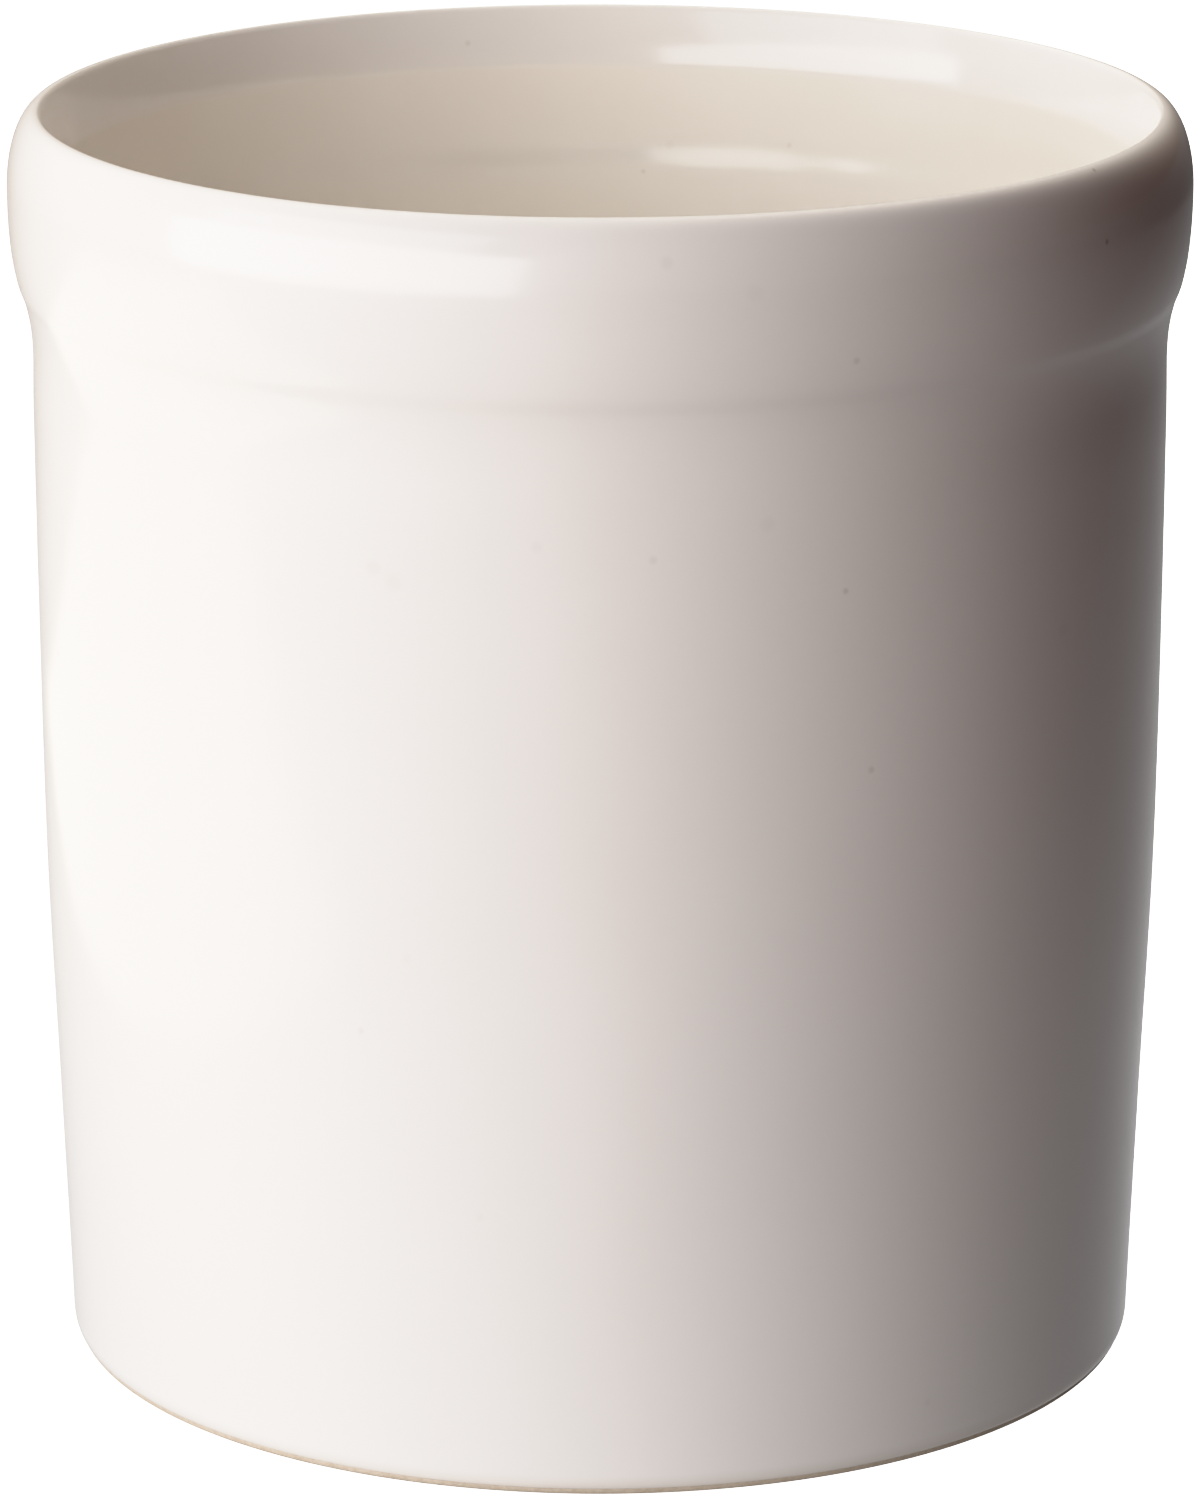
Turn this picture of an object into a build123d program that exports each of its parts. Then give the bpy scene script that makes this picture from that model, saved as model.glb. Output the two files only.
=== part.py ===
from build123d import *

import os
from math import cos, radians, sin

# Pen holder cup: one fired clay body under three coats of glaze.
# Millimetres. The origin is the centre of the foot's resting plane, and +Z is the cup's axis, upwards.
# Every piece is a solid of revolution about +Z, drawn as a closed section of (radius, height) points.
# The coats lie face to face on the clay, and the two large ones meet at the crest of the lip.

# The whole cup, over the glaze
HEIGHT = 103.0
COLLAR_RADIUS = 48.0
GLAZE = 0.4

# The outer wall, over the glaze: it spreads gently from the foot and is upright under the collar.
WALL_POINTS = [(44.35, 1.8), (45.07, 20.0), (45.85, 40.0), (46.12, 62.0), (46.2, 82.0)]
WALL_FOOT_DIRECTION = (0.035, 1.0)

# The collar: a soft step out of the wall, then an upright face, then the lip.
STEP_HOLLOW_Z = 89.0
STEP_SHOULDER_Z = 87.5
COLLAR_FACE_Z = 96.76

# The lip's outside is a long quarter ellipse. Inside it rolls over tightly into a bevel, which eases
# into the upright inside of the collar. Leans are degrees from upright.
LIP_OUT = 2.61
CREST_RADIUS = COLLAR_RADIUS - LIP_OUT
LIP_TURN = (44.85, 102.45)
LIP_LEAN = 20.0
BEVEL_LEAN = 7.0

# The inside steps in behind the collar's own step, then follows the wall down.
COLLAR_BORE_TOP = (43.62, 97.9)
COLLAR_BORE_FOOT = (43.6, 93.8)
INNER_STEP_FOOT = (42.9, 86.6)
INNER_WAIST = (42.55, 48.0)
INNER_FOOT_RADIUS = 41.6

# The floor
FLOOR_TOP = 5.2
FLOOR_FILLET = 6.5

# The foot: a bare ring of clay around a shallow recess, whose ceiling is glazed.
FOOT_CORNER = 0.6
GLAZE_EDGE_Z = 0.8
RING_INNER_RADIUS = 38.2
RING_INNER_CORNER = 0.5
RECESS_DEPTH = 1.6
RECESS_RADIUS = 37.4
BASE_GLAZE_RADIUS = 36.6

UP = (0, 1)
DOWN = (0, -1)
INWARD = (-1, 0)


def outer_line(inset):
    """The outside from the foot of the wall to the crest, at this depth under the glazed surface."""
    points = [(radius - inset, height) for radius, height in WALL_POINTS]
    step_foot = points[-1]
    face_radius = COLLAR_RADIUS - inset
    wall = Spline(points, tangents=[WALL_FOOT_DIRECTION, UP])
    step = Bezier(
        step_foot,
        (step_foot[0], STEP_HOLLOW_Z),
        (face_radius, STEP_SHOULDER_Z),
        (face_radius, COLLAR_FACE_Z),
    )
    lip = EllipticalCenterArc(
        (CREST_RADIUS, COLLAR_FACE_Z),
        LIP_OUT - inset,
        HEIGHT - COLLAR_FACE_Z - inset,
        arc_size=90,
    )
    return [wall, step, lip]


def leaning_down(lean):
    """The downward direction that leans in towards the axis by this many degrees."""
    return (-sin(radians(lean)), -cos(radians(lean)))


def inner_line(inset):
    """The inside from the crest down and over the floor to the axis, at this depth under the glaze."""
    crest = (CREST_RADIUS, HEIGHT - inset)
    lip_direction = leaning_down(LIP_LEAN)
    lip_turn = (LIP_TURN[0] - lip_direction[1] * inset, LIP_TURN[1] + lip_direction[0] * inset)
    bore_top, bore_foot, step_foot, waist = (
        (radius + inset, height)
        for radius, height in (COLLAR_BORE_TOP, COLLAR_BORE_FOOT, INNER_STEP_FOOT, INNER_WAIST)
    )
    step_middle_z = (bore_foot[1] + step_foot[1]) / 2
    wall_foot = (INNER_FOOT_RADIUS + inset, FLOOR_TOP + FLOOR_FILLET)
    fillet_centre = (INNER_FOOT_RADIUS - FLOOR_FILLET, FLOOR_TOP + FLOOR_FILLET)

    lip = Spline([crest, lip_turn], tangents=[INWARD, lip_direction])
    bevel = Spline([lip_turn, bore_top], tangents=[lip_direction, leaning_down(BEVEL_LEAN)])
    bore = Line(bore_top, bore_foot)
    step = Bezier(bore_foot, (bore_foot[0], step_middle_z), (step_foot[0], step_middle_z), step_foot)
    wall = Spline([step_foot, waist, wall_foot], tangents=[DOWN, DOWN])
    fillet = CenterArc(fillet_centre, FLOOR_FILLET + inset, 0, -90)
    floor = Line(fillet @ 1, (0, FLOOR_TOP - inset))
    return [lip, bevel, bore, step, wall, fillet, floor]


def clay_section():
    """The fired body: recess, foot ring, outer wall, lip, inner wall and floor."""
    outer = outer_line(GLAZE)
    inner = inner_line(GLAZE)
    wall_foot = outer[0] @ 0
    corner_radius = wall_foot.X - FOOT_CORNER
    corner = CenterArc((corner_radius, FOOT_CORNER), FOOT_CORNER, -90, 90)
    ring_corner_radius = RING_INNER_RADIUS + RING_INNER_CORNER
    ring_corner = CenterArc((ring_corner_radius, RING_INNER_CORNER), RING_INNER_CORNER, 180, 90)
    foot = [
        Line((0, RECESS_DEPTH), (RECESS_RADIUS, RECESS_DEPTH)),
        Line((RECESS_RADIUS, RECESS_DEPTH), ring_corner @ 0),
        ring_corner,
        Line(ring_corner @ 1, corner @ 0),
        corner,
        Line(corner @ 1, wall_foot),
    ]
    axis = Line(inner[-1] @ 1, (0, RECESS_DEPTH))
    return foot + outer + inner + [axis]


def outer_glaze_section():
    """The outer coat, from its rolled lower edge over the bare foot up to the crest."""
    outside = outer_line(0)
    clay_side = outer_line(GLAZE)
    wall_foot = clay_side[0] @ 0
    lower_edge = EllipticalCenterArc(
        wall_foot,
        GLAZE,
        wall_foot.Y - GLAZE_EDGE_Z,
        start_angle=-90,
        arc_size=90,
    )
    bare_side = Line(lower_edge @ 0, wall_foot)
    crest = Line(outside[-1] @ 1, clay_side[-1] @ 1)
    return [lower_edge] + outside + [crest] + clay_side + [bare_side]


def inner_glaze_section():
    """The liner coat, from the crest down the inner wall and across the floor."""
    inside = inner_line(0)
    clay_side = inner_line(GLAZE)
    crest = Line(inside[0] @ 0, clay_side[0] @ 0)
    axis = Line(inside[-1] @ 1, clay_side[-1] @ 1)
    return inside + clay_side + [crest, axis]


def base_glaze_section():
    """The round patch of glaze on the ceiling of the recess, with a rounded rim."""
    flat_radius = BASE_GLAZE_RADIUS - GLAZE
    lower_face_z = RECESS_DEPTH - GLAZE
    rim = CenterArc((flat_radius, RECESS_DEPTH), GLAZE, 0, -90)
    return [
        Line((0, RECESS_DEPTH), (BASE_GLAZE_RADIUS, RECESS_DEPTH)),
        rim,
        Line(rim @ 1, (0, lower_face_z)),
        Line((0, lower_face_z), (0, RECESS_DEPTH)),
    ]


SECTIONS = {
    "clay_body": clay_section,
    "outer_glaze": outer_glaze_section,
    "inner_glaze": inner_glaze_section,
    "base_glaze": base_glaze_section,
}

os.makedirs("parts", exist_ok=True)
for name, section in SECTIONS.items():
    face = make_face([Plane.XZ * edge for edge in section()])
    piece = revolve(face, Axis.Z)
    piece.label = name
    export_step(piece, f"parts/{name}.step")
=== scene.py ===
import math

import bpy
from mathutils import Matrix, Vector, noise


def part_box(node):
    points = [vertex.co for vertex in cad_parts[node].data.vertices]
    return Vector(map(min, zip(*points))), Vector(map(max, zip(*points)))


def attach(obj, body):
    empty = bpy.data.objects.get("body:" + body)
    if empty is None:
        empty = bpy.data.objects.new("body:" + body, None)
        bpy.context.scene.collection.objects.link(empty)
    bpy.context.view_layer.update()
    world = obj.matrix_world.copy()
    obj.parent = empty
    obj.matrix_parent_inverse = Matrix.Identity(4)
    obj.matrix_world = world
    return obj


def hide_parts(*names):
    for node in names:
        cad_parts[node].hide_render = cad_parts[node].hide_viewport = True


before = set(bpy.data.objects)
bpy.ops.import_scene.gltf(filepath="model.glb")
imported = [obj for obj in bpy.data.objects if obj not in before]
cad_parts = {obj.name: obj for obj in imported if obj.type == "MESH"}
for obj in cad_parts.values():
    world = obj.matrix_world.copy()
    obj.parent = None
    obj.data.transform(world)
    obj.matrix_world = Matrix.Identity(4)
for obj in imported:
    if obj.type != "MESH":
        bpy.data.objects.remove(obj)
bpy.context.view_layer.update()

# A glazed ceramic pen cup on a pale table. The cup's sizes are in millimetres, and its outlines are
# (radius, height) points round +Z. The table, the lights and the camera are in metres. Azimuths are
# in degrees: 0 is the side that faces the camera, -Y, and 90 faces +X.

MM = 0.001
BODY = "root"


# ---------------------------------------------------------------- sizes

def top_of(node):
    """The far upper corner of a node's box, in millimetres."""
    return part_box(node)[1] / MM


# From the frame
HEIGHT = top_of("outer_glaze").z
COLLAR_RADIUS = top_of("outer_glaze").x
CREST_RADIUS = top_of("inner_glaze").x
GLAZE = HEIGHT - top_of("clay_body").z
FLOOR_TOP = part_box("inner_glaze")[0].z / MM + GLAZE
RECESS_DEPTH = top_of("base_glaze").z
BASE_GLAZE_RADIUS = top_of("base_glaze").x

# The outside, over the glaze: the wall, then the collar's step and upright face.
WALL_POINTS = [(44.35, 1.8), (45.07, 20.0), (45.85, 40.0), (46.12, 62.0), (46.2, 82.0)]
WALL_FOOT_DIRECTION = (0.035, 1.0)
STEP_HOLLOW_Z = 89.0
STEP_SHOULDER_Z = 87.5
COLLAR_FACE_Z = 96.76

# The inside, over the glaze: a tight roll, a bevel, the collar's bore, a step and the wall. Leans
# are degrees from upright.
LIP_TURN = (44.85, 102.45)
LIP_LEAN = 20.0
BEVEL_LEAN = 7.0
COLLAR_BORE_TOP = (43.62, 97.9)
COLLAR_BORE_FOOT = (43.6, 93.8)
INNER_STEP_FOOT = (42.9, 86.6)
INNER_WAIST = (42.55, 48.0)
INNER_FOOT_RADIUS = 41.6
FLOOR_FILLET = 6.5

# The foot. The outer glaze runs down to GLAZE_EDGE_Z, a little lower than in the CAD.
FOOT_CORNER = 0.6
GLAZE_EDGE_Z = 0.55
RING_INNER_RADIUS = 38.2
RING_INNER_CORNER = 0.5
RECESS_RADIUS = 37.4

UP = (0, 1)
DOWN = (0, -1)
INWARD = (-1, 0)

# Meshing: columns round the axis, fewer on the pieces without relief. FINE and COARSE scale the
# number of points in each stretch of an outline. A point nearer the axis than ON_AXIS_RADIUS is on
# it, and edges that bend by more than SHARP_ANGLE degrees stay sharp.
COLUMNS = 288
PLAIN_COLUMNS = 216
FINE = 1.0
COARSE = 0.45
ON_AXIS_RADIUS = 0.001
SHARP_ANGLE = 40.0


# ---------------------------------------------------------------- directions and outlines

def direction(azimuth, elevation):
    """Unit vector towards this azimuth and elevation, in degrees."""
    a = math.radians(azimuth)
    e = math.radians(elevation)
    return Vector((math.sin(a) * math.cos(e), -math.cos(a) * math.cos(e), math.sin(e)))


def straight(start, end, count):
    """Points along a line, without its end."""
    return [tuple(Vector(start).lerp(Vector(end), i / count)) for i in range(count)]


def ellipse_arc(centre, radii, start, end, count):
    """Points along part of an ellipse, from one angle to the other in degrees, without its end."""
    angles = [math.radians(start + (end - start) * i / count) for i in range(count)]
    return [(centre[0] + radii[0] * math.cos(a), centre[1] + radii[1] * math.sin(a)) for a in angles]


def bezier(p0, p1, p2, p3, count):
    """Points along a cubic Bezier curve, without its end."""
    points = []
    for i in range(count):
        t = i / count
        weights = ((1 - t) ** 3, 3 * t * (1 - t) ** 2, 3 * t * t * (1 - t), t**3)
        parts = [weight * Vector(p) for weight, p in zip(weights, (p0, p1, p2, p3))]
        points.append(tuple(sum(parts, Vector((0, 0)))))
    return points


def smooth_through(points, start_direction, end_direction, count):
    """A smooth curve through points that leaves and arrives in these directions, without its end."""
    spots = [Vector(p) for p in points]
    slopes = [Vector(start_direction).normalized()]
    for before, here, after in zip(spots, spots[1:], spots[2:]):
        slopes.append((after - before) / ((after - here).length + (here - before).length))
    slopes.append(Vector(end_direction).normalized())
    made = []
    for (a, slope_a), (b, slope_b) in zip(zip(spots, slopes), zip(spots[1:], slopes[1:])):
        reach = (b - a).length / 3
        made += bezier(a, a + slope_a * reach, b - slope_b * reach, b, count)
    return made


def leaning_down(lean):
    """The downward direction that leans in towards the axis by this many degrees."""
    return (-math.sin(math.radians(lean)), -math.cos(math.radians(lean)))


def outer_line(inset, fineness):
    """The outside from the foot of the wall to the crest, at this depth under the glazed surface."""
    points = [(radius - inset, height) for radius, height in WALL_POINTS]
    step_foot = points[-1]
    face_radius = COLLAR_RADIUS - inset
    face_foot = (face_radius, COLLAR_FACE_Z)
    step_bend = (step_foot[0], STEP_HOLLOW_Z)
    shoulder_bend = (face_radius, STEP_SHOULDER_Z)
    lip_radii = (face_radius - CREST_RADIUS, HEIGHT - COLLAR_FACE_Z - inset)
    wall = smooth_through(points, WALL_FOOT_DIRECTION, UP, round(28 * fineness))
    step = bezier(step_foot, step_bend, shoulder_bend, face_foot, round(44 * fineness))
    lip = ellipse_arc((CREST_RADIUS, COLLAR_FACE_Z), lip_radii, 0, 90, round(36 * fineness))
    return wall + step + lip + [(CREST_RADIUS, HEIGHT - inset)]


def inner_line(inset, fineness):
    """The inside from the crest down and over the floor to the axis, at this depth under the glaze."""
    crest = (CREST_RADIUS, HEIGHT - inset)
    lip_direction = leaning_down(LIP_LEAN)
    lip_turn = (LIP_TURN[0] - lip_direction[1] * inset, LIP_TURN[1] + lip_direction[0] * inset)
    bore_top, bore_foot, step_foot, waist = (
        (radius + inset, height)
        for radius, height in (COLLAR_BORE_TOP, COLLAR_BORE_FOOT, INNER_STEP_FOOT, INNER_WAIST)
    )
    step_middle = (bore_foot[1] + step_foot[1]) / 2
    wall_foot = (INNER_FOOT_RADIUS + inset, FLOOR_TOP + FLOOR_FILLET)
    fillet_centre = (INNER_FOOT_RADIUS - FLOOR_FILLET, FLOOR_TOP + FLOOR_FILLET)
    fillet_radii = (FLOOR_FILLET + inset, FLOOR_FILLET + inset)
    centre = (0.0, FLOOR_TOP - inset)

    lip = smooth_through([crest, lip_turn], INWARD, lip_direction, round(12 * fineness))
    bevel_end = leaning_down(BEVEL_LEAN)
    bevel = smooth_through([lip_turn, bore_top], lip_direction, bevel_end, round(22 * fineness))
    bore = straight(bore_top, bore_foot, round(14 * fineness))
    step_bends = (bore_foot[0], step_middle), (step_foot[0], step_middle)
    step = bezier(bore_foot, *step_bends, step_foot, round(22 * fineness))
    wall = smooth_through([step_foot, waist, wall_foot], DOWN, DOWN, round(44 * fineness))
    fillet = ellipse_arc(fillet_centre, fillet_radii, 0, -90, round(20 * fineness))
    floor = straight((fillet_centre[0], centre[1]), centre, round(26 * fineness))
    return lip + bevel + bore + step + wall + fillet + floor + [centre]


def foot_line():
    """The underside of the clay, from the axis to the foot of the wall."""
    wall_foot = (WALL_POINTS[0][0] - GLAZE, WALL_POINTS[0][1])
    corner_radius = wall_foot[0] - FOOT_CORNER
    ring_corner_radius = RING_INNER_RADIUS + RING_INNER_CORNER
    ring_start = (RING_INNER_RADIUS, RING_INNER_CORNER)
    ring_corner_radii = (RING_INNER_CORNER, RING_INNER_CORNER)
    recess = straight((0.0, RECESS_DEPTH), (RECESS_RADIUS, RECESS_DEPTH), 36)
    flank = straight((RECESS_RADIUS, RECESS_DEPTH), ring_start, 6)
    ring_corner = ellipse_arc((ring_corner_radius, RING_INNER_CORNER), ring_corner_radii, 180, 270, 8)
    ring = straight((ring_corner_radius, 0.0), (corner_radius, 0.0), 16)
    corner = ellipse_arc((corner_radius, FOOT_CORNER), (FOOT_CORNER, FOOT_CORNER), -90, 0, 10)
    band = straight((wall_foot[0], FOOT_CORNER), wall_foot, 5)
    return recess + flank + ring_corner + ring + corner + band


# ---------------------------------------------------------------- relief of the fired surfaces

RELIEF_DEPTH = 0.2
BROAD_WAVE = 34.0
MIDDLE_WAVE = 11.0
LUMP_WAVE = 4.5
RING_PITCH = 6.5
RING_WANDER = 2.5
LIP_FADE = 8.0

# Shares of the relief's depth. The two pairs are for the middle waves and the rings.
MEAN_SHARE = 0.5
BROAD_SHARE = 0.36
OUTSIDE_SHARES = (0.03, 0.012)
INSIDE_SHARES = (0.26, 0.06)
LUMP_SHARE = 0.32

# Where each kind of noise is sampled, so that they differ
BROAD_PLACE = Vector((3.1, 0.4, 7.7))
MIDDLE_PLACE = Vector((11.3, 5.2, 1.9))
LUMP_PLACE = Vector((2.2, 8.3, 4.6))

LUMPS_Z = 90.0
LUMPS_REACH = 6.0
UNDERCUT_DEPTH = 0.13
UNDERCUT_TOP = 89.3
UNDERCUT_DEEPEST = 87.7
UNDERCUT_END = 78.0


def relief(spot, inside):
    """How far the glaze lies under its ideal surface here, from 0 to RELIEF_DEPTH: broad waves, then
    middle ones and shallow throwing rings that climb round the cup, both stronger inside, and small
    lumps on the inner step. The two sides agree at the crest, where the coats meet."""
    broad = noise.noise(spot / BROAD_WAVE + BROAD_PLACE)
    middle = noise.noise(spot / MIDDLE_WAVE + MIDDLE_PLACE)
    climb = math.atan2(spot.y, spot.x)
    rings = math.sin(math.tau * spot.z / RING_PITCH + climb + RING_WANDER * broad)
    fade = min(1.0, max(0.0, (HEIGHT - spot.z) / LIP_FADE))
    middle_share, ring_share = INSIDE_SHARES if inside else OUTSIDE_SHARES
    wavy = MEAN_SHARE + BROAD_SHARE * broad + fade * (middle_share * middle + ring_share * rings)
    if inside:
        near_step = max(0.0, 1.0 - ((spot.z - LUMPS_Z) / LUMPS_REACH) ** 2)
        wavy += LUMP_SHARE * near_step * noise.noise(spot / LUMP_WAVE + LUMP_PLACE)
    return RELIEF_DEPTH * min(1.0, max(0.0, wavy))


def eased(share):
    """0 to 1, smoothly."""
    share = min(1.0, max(0.0, share))
    return share * share * (3 - 2 * share)


def undercut(height):
    """The tool's trim line under the collar: a quick step in, which fades out down the wall."""
    step = eased((UNDERCUT_TOP - height) / (UNDERCUT_TOP - UNDERCUT_DEEPEST))
    fade = eased((height - UNDERCUT_END) / (UNDERCUT_DEEPEST - UNDERCUT_END))
    return UNDERCUT_DEPTH * step * fade


def outside_relief(spot):
    return relief(spot, False) + undercut(spot.z)


def inside_relief(spot):
    return relief(spot, True)


# ---------------------------------------------------------------- turned pieces

def outward(before, after):
    """The direction out of the material between two points of a section that runs anticlockwise."""
    return Vector((after[1] - before[1], before[0] - after[0])).normalized()


def turned(name, section, columns=COLUMNS):
    """A closed solid of revolution. The section runs anticlockwise in (radius, height), in stretches
    of (outline, relief), where relief is a function of a point or None."""
    points, rings = [], []
    for outline, surface_relief in section:
        last = len(outline) - 1
        for row, (radius, height) in enumerate(outline):
            normal = outward(outline[max(row - 1, 0)], outline[min(row + 1, last)])
            first = len(points)
            on_axis = radius < ON_AXIS_RADIUS
            for column in range(1 if on_axis else columns):
                turn = math.tau * column / columns
                spot = Vector((radius * math.cos(turn), radius * math.sin(turn), height))
                if surface_relief:
                    sunk = surface_relief(spot)
                    across = 0.0 if on_axis else normal.x * sunk / radius
                    spot -= Vector((spot.x * across, spot.y * across, normal.y * sunk))
                points.append(spot * MM)
            rings.append(range(first, len(points)))
    faces = []
    for lower, upper in zip(rings, rings[1:] + rings[:1]):
        for column in range(columns):
            after = column + 1
            corners = [
                lower[column % len(lower)],
                lower[after % len(lower)],
                upper[after % len(upper)],
                upper[column % len(upper)],
            ]
            corners = [corner for i, corner in enumerate(corners) if corner != corners[i - 1]]
            if len(corners) > 2:
                faces.append(corners)
    mesh = bpy.data.meshes.new(name)
    mesh.from_pydata(points, [], faces)
    mesh.polygons.foreach_set("use_smooth", [True] * len(mesh.polygons))
    mesh.set_sharp_from_angle(angle=math.radians(SHARP_ANGLE))
    piece = bpy.data.objects.new(name, mesh)
    bpy.context.scene.collection.objects.link(piece)
    return piece


def place(piece, node, material):
    """The piece stands for its CAD node, rides on the cup's one body and takes its material."""
    piece.data.materials.append(material)
    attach(piece, BODY)
    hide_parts(node)


def radius_at(outline, height):
    """The radius of an outline at this height, from its first stretch that passes there."""
    for (radius, z), (next_radius, next_z) in zip(outline, outline[1:]):
        if min(z, next_z) <= height <= max(z, next_z) and z != next_z:
            return radius + (next_radius - radius) * (height - z) / (next_z - z)
    raise ValueError(f"the outline doesn't pass height {height}")


# ---------------------------------------------------------------- pieces

def clay_cup():
    outside = outer_line(GLAZE, COARSE)
    inside = inner_line(GLAZE, COARSE)
    return turned("clay_cup", [(foot_line() + outside + inside[1:], None)], PLAIN_COLUMNS)


def outer_glaze_coat():
    wall_foot = (WALL_POINTS[0][0] - GLAZE, WALL_POINTS[0][1])
    edge_radii = (GLAZE, wall_foot[1] - GLAZE_EDGE_Z)
    edge = ellipse_arc(wall_foot, edge_radii, -90, 0, 12)
    outside = outer_line(0.0, FINE)
    clay_side = outer_line(GLAZE, COARSE)[::-1]
    return turned("outer_glaze_coat", [(edge + outside, outside_relief), (clay_side, None)])


def liner_glaze_coat():
    inside = inner_line(0.0, FINE)
    clay_side = inner_line(GLAZE, COARSE)[::-1]
    return turned("liner_glaze_coat", [(inside, inside_relief), (clay_side, None)])


def base_glaze_patch():
    rim_centre = (BASE_GLAZE_RADIUS - GLAZE, RECESS_DEPTH)
    face_z = RECESS_DEPTH - GLAZE
    face = straight((0.0, face_z), (rim_centre[0], face_z), 40)
    rim = ellipse_arc(rim_centre, (GLAZE, GLAZE), -90, 0, 8)
    centre = (0.0, RECESS_DEPTH)
    clay_side = straight((BASE_GLAZE_RADIUS, RECESS_DEPTH), centre, 12)
    return turned("base_glaze_patch", [(face + rim + clay_side + [centre], None)], PLAIN_COLUMNS)


# ---------------------------------------------------------------- materials

CLAY_TINT = (0.72, 0.6, 0.47)
CLAY_GRAIN = [(0.25, (0.48, 0.39, 0.3)), (0.55, (0.6, 0.51, 0.41)), (0.8, (0.68, 0.59, 0.49))]
CLAY_GRAIN_SPAN = (0.2, 0.8)
CLAY_GRAIN_WAVE = 0.6
CLAY_GRAIN_DEPTH = 0.03
CLAY_ROUGHNESS = (0.75, 0.92)
SPECK_COLOUR = (0.2, 0.15, 0.12)
SPECK_CORE = 0.15
SPECK_RIM = 0.85

# The glaze is thin over the clay up to THIN_EDGE_TOP. Over the lip its colour changes along an edge
# that wanders up and down by up to LAP_WANDER. Its tone and gloss run over NOISE_SPAN of a noise.
THIN_EDGE_TOP = 1.8
THIN_EDGE_TINT = 0.4
LAP_WANDER = 0.8
LAP_WAVE = 8.0
NOISE_SPAN = (0.3, 0.7)
TONE_WAVE = 22.0
GLOSS_WAVE = 9.0
GLOSS_SPREAD = 0.015
PEEL_WAVE = 1.6
PEEL_DEPTH = 0.004
GLAZE_IOR = 1.5

# Specks and pinholes: azimuth, height, width and darkness. Inside, an azimuth is where the wall
# stands, so 180 is the far wall.
OUTER_SPECKS = [
    (-22, 75.2, 1.1, 0.06),
    (-20, 74.2, 1.3, 0.05),
    (-6, 77.6, 0.8, 0.05),
    (5, 76.6, 0.6, 0.1),
    (24, 73.2, 0.45, 0.2),
    (27, 58.7, 0.5, 0.16),
    (-24, 37.8, 0.5, 0.13),
    (-19, 44.2, 0.7, 0.04),
    (-12, 23.3, 0.6, 0.04),
    (24, 91.5, 0.5, 0.16),
    (14, 97.4, 1.2, 0.03),
    (6, 99.9, 0.9, 0.06),
    (55, 97.3, 0.45, 0.45),
    (56, 102.7, 0.4, 0.45),
    (52, 66.5, 1.1, 0.04),
    (16, 79.0, 1.1, 0.04),
    (36, 4.8, 0.6, 0.05),
    (-71, 61.0, 0.5, 0.12),
    (-118, 84.5, 0.6, 0.1),
    (133, 30.2, 0.5, 0.15),
    (161, 66.0, 0.8, 0.06),
    (104, 94.1, 0.5, 0.12),
]
INNER_SPECKS = [
    (175, 88.7, 0.39, 0.17),
    (158, 91.5, 0.45, 0.14),
    (-165, 100.0, 0.45, 0.14),
    (172, 91.0, 0.65, 0.05),
    (-150, 60.0, 0.39, 0.12),
    (40, 70.0, 0.39, 0.12),
    (95, 45.0, 0.45, 0.1),
]


def new_material(name):
    """A fresh material, its node tree and its shader."""
    material = bpy.data.materials.new(name)
    material.use_nodes = True
    tree = material.node_tree
    shader = next(node for node in tree.nodes if node.type == "BSDF_PRINCIPLED")
    return material, tree, shader


def add(tree, kind, **settings):
    """A node with these properties. A setting whose name ends in _in sets an input socket."""
    node = tree.nodes.new(kind)
    for key, value in settings.items():
        if key.endswith("_in"):
            node.inputs[key[:-3].replace("_", " ")].default_value = value
        else:
            setattr(node, key, value)
    return node


def noise_of(tree, place_socket, wave, detail, roughness=0.5):
    """Noise whose waves are about this many millimetres long."""
    node = add(tree, "ShaderNodeTexNoise", Detail_in=detail, Roughness_in=roughness)
    node.inputs["Scale"].default_value = 1 / (wave * MM)
    tree.links.new(place_socket, node.inputs["Vector"])
    return node.outputs["Fac"]


def ramp(tree, value, stops):
    """A colour ramp over (position, colour) stops."""
    node = add(tree, "ShaderNodeValToRGB")
    elements = node.color_ramp.elements
    while len(elements) < len(stops):
        elements.new(0.5)
    for element, (position, colour) in zip(elements, stops):
        element.position = position
        element.color = (*colour, 1)
    tree.links.new(value, node.inputs["Fac"])
    return node.outputs["Color"]


def map_range(tree, value, low, high, to_low, to_high):
    """The value carried from one range to another, and held at its ends."""
    ends = {"From_Min_in": low, "From_Max_in": high, "To_Min_in": to_low, "To_Max_in": to_high}
    node = add(tree, "ShaderNodeMapRange", **ends)
    tree.links.new(value, node.inputs["Value"])
    return node.outputs["Result"]


def bump(tree, shader, height, depth):
    """Relief in the shading only, this many millimetres deep."""
    node = add(tree, "ShaderNodeBump", Distance_in=depth * MM, Strength_in=1.0)
    tree.links.new(height, node.inputs["Height"])
    tree.links.new(node.outputs["Normal"], shader.inputs["Normal"])


def maths(tree, operation, first, second):
    """One Math node over two values, each a socket or a number."""
    node = add(tree, "ShaderNodeMath", operation=operation)
    for socket, value in zip(node.inputs, (first, second)):
        if isinstance(value, (int, float)):
            socket.default_value = value
        else:
            tree.links.new(value, socket)
    return node.outputs["Value"]


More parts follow.
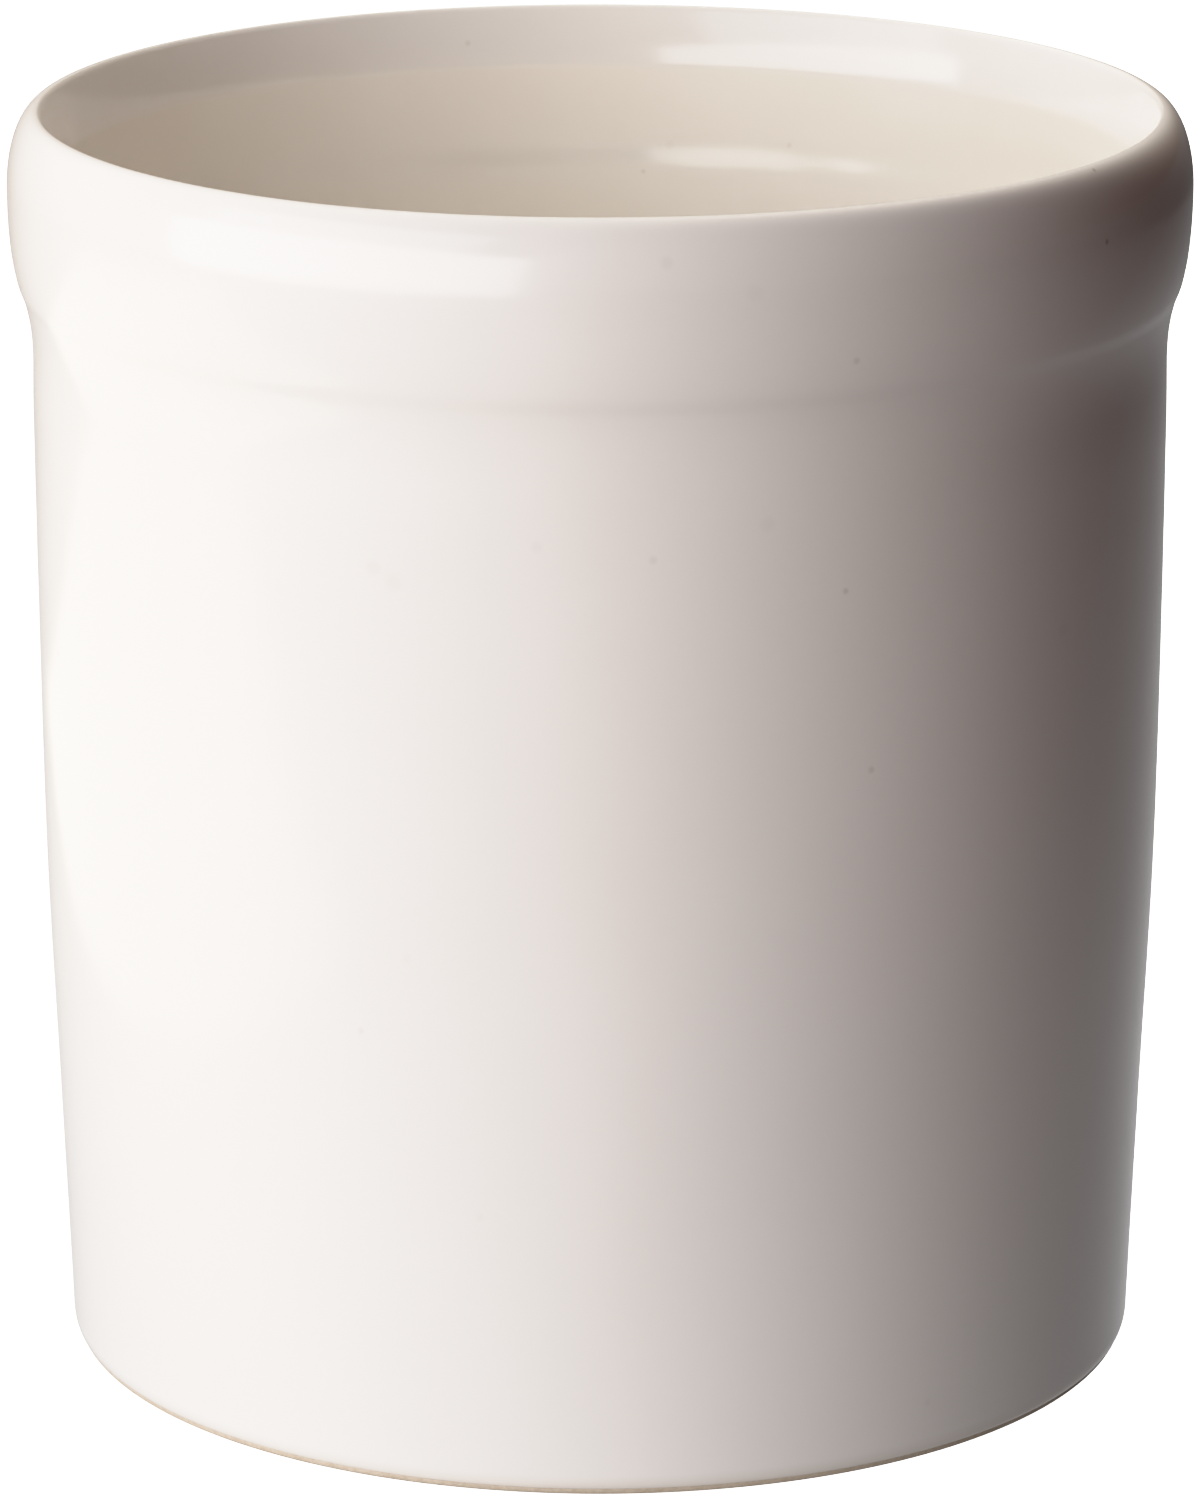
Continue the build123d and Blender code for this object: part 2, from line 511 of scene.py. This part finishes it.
def speck_mask(tree, here, outline, specks):
    """How dark the specks in the glaze are here, from 0 to 1."""
    mask = 0.0
    for azimuth, height, width, darkness in specks:
        centre = direction(azimuth, 0) * radius_at(outline, height) + Vector((0, 0, height))
        apart = add(tree, "ShaderNodeVectorMath", operation="DISTANCE")
        tree.links.new(here, apart.inputs[0])
        apart.inputs[1].default_value = centre * MM
        spot = add(tree, "ShaderNodeMapRange", interpolation_type="SMOOTHSTEP")
        tree.links.new(apart.outputs["Value"], spot.inputs["Value"])
        spot.inputs["From Min"].default_value = SPECK_CORE * width * MM
        spot.inputs["From Max"].default_value = SPECK_RIM * width * MM
        spot.inputs["To Min"].default_value = darkness
        spot.inputs["To Max"].default_value = 0.0
        mask = maths(tree, "MAXIMUM", spot.outputs["Result"], mask)
    return mask


def mix_colour(tree, share, first, second):
    """A blend of two colours, each a socket or a tuple."""
    node = add(tree, "ShaderNodeMix", data_type="RGBA")
    tree.links.new(share, node.inputs[0])
    for socket, colour in ((node.inputs[6], first), (node.inputs[7], second)):
        if isinstance(colour, tuple):
            socket.default_value = (*colour, 1)
        else:
            tree.links.new(colour, socket)
    return node.outputs[2]


def glaze_material(name, thin_colour, full_colour, lip_colour, roughness, outline, specks):
    """Gloss glaze: a cloudy tone that may change over the lip, iron specks and pinholes, a thin
    clay-tinted edge over the foot, and the fine dimples of a fired surface."""
    material, tree, shader = new_material(name)
    here = add(tree, "ShaderNodeTexCoord").outputs["Object"]
    low, high = NOISE_SPAN
    tone = noise_of(tree, here, TONE_WAVE, 3.0)
    colour = ramp(tree, tone, [(low, thin_colour), (high, full_colour)])
    height = add(tree, "ShaderNodeSeparateXYZ")
    tree.links.new(here, height.inputs[0])
    wander = maths(tree, "MULTIPLY", noise_of(tree, here, LAP_WAVE, 2.0), LAP_WANDER * MM)
    lap_height = maths(tree, "ADD", height.outputs["Z"], wander)
    lap_foot = COLLAR_BORE_TOP[1]
    lap = map_range(tree, lap_height, lap_foot * MM, (lap_foot + LAP_WANDER) * MM, 0.0, 1.0)
    colour = mix_colour(tree, lap, colour, lip_colour)
    edge_span = (GLAZE_EDGE_Z * MM, THIN_EDGE_TOP * MM)
    edge = map_range(tree, height.outputs["Z"], *edge_span, THIN_EDGE_TINT, 0.0)
    colour = mix_colour(tree, edge, colour, CLAY_TINT)
    mask = speck_mask(tree, here, outline, specks)
    colour = mix_colour(tree, mask, colour, SPECK_COLOUR)
    tree.links.new(colour, shader.inputs["Base Color"])
    gloss = noise_of(tree, here, GLOSS_WAVE, 2.0)
    rough = map_range(tree, gloss, low, high, roughness - GLOSS_SPREAD, roughness + GLOSS_SPREAD)
    tree.links.new(rough, shader.inputs["Roughness"])
    peel = noise_of(tree, here, PEEL_WAVE, 2.0)
    bump(tree, shader, peel, PEEL_DEPTH)
    shader.inputs["IOR"].default_value = GLAZE_IOR
    return material


def clay_material():
    """Bare fired clay: sandy, matt and a little rough."""
    material, tree, shader = new_material("bare_stoneware")
    here = add(tree, "ShaderNodeTexCoord").outputs["Object"]
    grain = noise_of(tree, here, CLAY_GRAIN_WAVE, 4.0, 0.7)
    tree.links.new(ramp(tree, grain, CLAY_GRAIN), shader.inputs["Base Color"])
    rough = map_range(tree, grain, *CLAY_GRAIN_SPAN, *CLAY_ROUGHNESS)
    tree.links.new(rough, shader.inputs["Roughness"])
    bump(tree, shader, grain, CLAY_GRAIN_DEPTH)
    return material


# ---------------------------------------------------------------- table, lights and camera

# Softboxes stand round the cup at this distance: name, azimuth and elevation of the middle, width
# and height in degrees as the cup sees them, brightness and colour.
SOFTBOX_DISTANCE = 0.6
SOFTBOXES = [
    ("key_softbox", -50, 10, 72, 30, 5.45, (1.0, 0.925, 0.88)),
    ("upper_softbox", -54, 36, 60, 22, 2.3, (0.93, 0.97, 1.0)),
    ("rear_softbox", -165, 56, 70, 30, 8.8, (1.0, 0.92, 0.8)),
]

# Softboxes that are flagged off from view, so the glaze doesn't mirror them.
FLAGGED = ("rear_softbox",)

# Where the softboxes light the table top, it lights the cup from below: name, middle and size in
# metres, brightness, colour.
BOUNCES = [
    ("left_bounce", (-0.28, 0.03), (0.32, 0.3), 1.8, (1.0, 0.83, 0.62)),
]

# The table's top is three sheets, because the camera, the glaze's mirror images and the wall's
# light from below each need their own brightness. The lower two lie just under the top one.
TABLE_REACH = 4.0
TABLE_WHITE = 2.4
TABLE_COLOUR = (0.9, 0.9, 0.9, 1)
BLACK = (0, 0, 0, 1)
NEAR_TABLE_BELOW = 0.0001
MIRRORED_BELOW = 0.0002
MIRRORED_NEAR = 0.55
MIRRORED_FAR = 0.09
MIRRORED_FADE = (0.1, 0.55)
NEAR_TABLE_RADIUS = 0.13
NEAR_TABLE_MEAN = 0.23
NEAR_TABLE_AZIMUTH = -55
NEAR_TABLE_SIDES = 48
BOUNCE_HEIGHT = 0.0005

# The room behind everything
ROOM_STRENGTH = 0.058
ROOM_COLOUR = (1.0, 0.59, 0.52)

# The camera, with its tilt in degrees below level, and its lens and sensor in millimetres
CAMERA_PLACE = (0.0, -0.59307, 0.21657)
CAMERA_DOWN = 15.807
CAMERA_LENS = 178.94
CAMERA_SENSOR = 36.0


def table(name, below, reach, sides=4):
    """A flat black sheet that glows, this far under the table's level, as stage and not part of
    the cup. Returns it with its node tree and shader."""
    mesh = bpy.data.meshes.new(name)
    turns = [math.tau * (i + 0.5) / sides for i in range(sides)]
    corners = [Vector((reach * math.cos(turn), reach * math.sin(turn), -below)) for turn in turns]
    mesh.from_pydata(corners, [], [range(sides)])
    material, tree, shader = new_material(name + "_white")
    shader.inputs["Base Color"].default_value = BLACK
    shader.inputs["Specular IOR Level"].default_value = 0
    shader.inputs["Emission Color"].default_value = (1, 1, 1, 1)
    mesh.materials.append(material)
    sheet = bpy.data.objects.new(name, mesh)
    bpy.context.scene.collection.objects.link(sheet)
    return sheet, tree, shader


def seen_table():
    """The white table top that the camera sees."""
    sheet, _, shader = table("table", 0.0, TABLE_REACH)
    shader.inputs["Base Color"].default_value = TABLE_COLOUR
    shader.inputs["Emission Strength"].default_value = TABLE_WHITE
    sheet.visible_diffuse = False
    sheet.visible_glossy = False


def mirrored_table():
    """The table top that the glaze mirrors: bright near the cup and darker far away."""
    sheet, tree, shader = table("mirrored_table", MIRRORED_BELOW, TABLE_REACH)
    here = add(tree, "ShaderNodeTexCoord").outputs["Object"]
    away = add(tree, "ShaderNodeVectorMath", operation="LENGTH")
    tree.links.new(here, away.inputs[0])
    glow = map_range(tree, away.outputs["Value"], *MIRRORED_FADE, MIRRORED_NEAR, MIRRORED_FAR)
    tree.links.new(glow, shader.inputs["Emission Strength"])
    sheet.visible_camera = False
    sheet.visible_diffuse = False


def near_table():
    """The table top round the foot, which lights the wall from below, most on the lit side."""
    sheet, tree, shader = table("near_table", NEAR_TABLE_BELOW, NEAR_TABLE_RADIUS, NEAR_TABLE_SIDES)
    here = add(tree, "ShaderNodeTexCoord").outputs["Object"]
    outwards = add(tree, "ShaderNodeVectorMath", operation="NORMALIZE")
    tree.links.new(here, outwards.inputs[0])
    towards_light = add(tree, "ShaderNodeVectorMath", operation="DOT_PRODUCT")
    tree.links.new(outwards.outputs["Vector"], towards_light.inputs[0])
    towards_light.inputs[1].default_value = direction(NEAR_TABLE_AZIMUTH, 0)
    glow = map_range(tree, towards_light.outputs["Value"], -1, 1, 0, 2 * NEAR_TABLE_MEAN)
    tree.links.new(glow, shader.inputs["Emission Strength"])
    sheet.visible_camera = False
    sheet.visible_glossy = False


def area_light(name, location, facing, width, height, brightness, colour):
    """A rectangular light of this radiance. It shines against the facing direction."""
    lamp = bpy.data.lights.new(name, "AREA")
    lamp.shape = "RECTANGLE"
    lamp.size = width
    lamp.size_y = height
    lamp.energy = math.pi * width * height * brightness
    lamp.color = colour
    stand = bpy.data.objects.new(name, lamp)
    stand.location = location
    stand.rotation_euler = facing.to_track_quat("Z", "Y").to_euler()
    stand.visible_camera = False
    bpy.context.scene.collection.objects.link(stand)
    return stand


def softbox(name, azimuth, elevation, wide, high, brightness, colour):
    """A softbox that faces the middle of the cup."""
    outwards = direction(azimuth, elevation)
    width, height = (2 * SOFTBOX_DISTANCE * math.tan(math.radians(angle / 2)) for angle in (wide, high))
    middle = Vector((0, 0, HEIGHT / 2 * MM))
    across = width * math.cos(math.radians(elevation))
    place_of_light = middle + outwards * SOFTBOX_DISTANCE
    stand = area_light(name, place_of_light, outwards, across, height, brightness, colour)
    stand.visible_glossy = name not in FLAGGED


def bounce(name, middle, size, brightness, colour):
    """A lit patch of the table, which shines upwards."""
    area_light(name, Vector((*middle, BOUNCE_HEIGHT)), Vector((0, 0, -1)), *size, brightness, colour)


def room():
    """The dim, warm room beyond the lights."""
    world = bpy.data.worlds.new("dark_room")
    world.use_nodes = True
    background = world.node_tree.nodes["Background"]
    background.inputs["Color"].default_value = (*ROOM_COLOUR, 1)
    background.inputs["Strength"].default_value = ROOM_STRENGTH
    bpy.context.scene.world = world


def camera():
    """A long lens in front of the cup, looking down on it."""
    data = bpy.data.cameras.new("camera")
    data.lens = CAMERA_LENS
    data.sensor_width = CAMERA_SENSOR
    eye = bpy.data.objects.new("camera", data)
    eye.location = CAMERA_PLACE
    eye.rotation_euler = (math.radians(90.0 - CAMERA_DOWN), 0.0, 0.0)
    bpy.context.scene.collection.objects.link(eye)
    bpy.context.scene.camera = eye


# The tone where the roll-off starts, and the one that it takes to white
SHOULDER_START = 0.6
SHOULDER_WHITE = 2.2
SHOULDER_STEPS = 9


def soft_shoulder():
    """Bright tones roll off to white, as on film, and the rest stay as they are."""
    view = bpy.context.scene.view_settings
    view.view_transform = "Standard"
    view.use_curve_mapping = True
    mapping = view.curve_mapping
    mapping.white_level = (SHOULDER_WHITE,) * 3
    points = mapping.curves[3].points
    room_left = 1 - SHOULDER_START
    full = 1 - math.exp(-(SHOULDER_WHITE - SHOULDER_START) / room_left)
    for i in range(SHOULDER_STEPS):
        tone = SHOULDER_START + (SHOULDER_WHITE - SHOULDER_START) * i / SHOULDER_STEPS
        rolled = SHOULDER_START + room_left * (1 - math.exp(-(tone - SHOULDER_START) / room_left)) / full
        points.new(tone / SHOULDER_WHITE, rolled)
    for point in points:
        point.handle_type = "AUTO" if point.location[0] > SHOULDER_START / SHOULDER_WHITE else "VECTOR"
    mapping.update()


# ---------------------------------------------------------------- the scene

# Glaze colours, where it is thick and thin, and roughness
OUTER_FULL = (0.905, 0.88, 0.868)
OUTER_THIN = (0.89, 0.862, 0.846)
LINER_FULL = (0.91, 0.878, 0.836)
LINER_THIN = (0.888, 0.848, 0.79)
LIP_COLOUR = (0.9, 0.872, 0.852)
OUTER_ROUGHNESS = 0.16
LINER_ROUGHNESS = 0.14

outside, inside = outer_line(0.0, FINE), inner_line(0.0, FINE)
outer_glaze = glaze_material(
    "white_gloss_glaze", OUTER_THIN, OUTER_FULL, OUTER_FULL, OUTER_ROUGHNESS, outside, OUTER_SPECKS
)
liner_glaze = glaze_material(
    "cream_liner_glaze", LINER_THIN, LINER_FULL, LIP_COLOUR, LINER_ROUGHNESS, inside, INNER_SPECKS
)
clay = clay_material()

place(clay_cup(), "clay_body", clay)
place(outer_glaze_coat(), "outer_glaze", outer_glaze)
place(liner_glaze_coat(), "inner_glaze", liner_glaze)
place(base_glaze_patch(), "base_glaze", outer_glaze)

seen_table()
mirrored_table()
near_table()
for settings in SOFTBOXES:
    softbox(*settings)
for settings in BOUNCES:
    bounce(*settings)
room()
camera()
soft_shoulder()
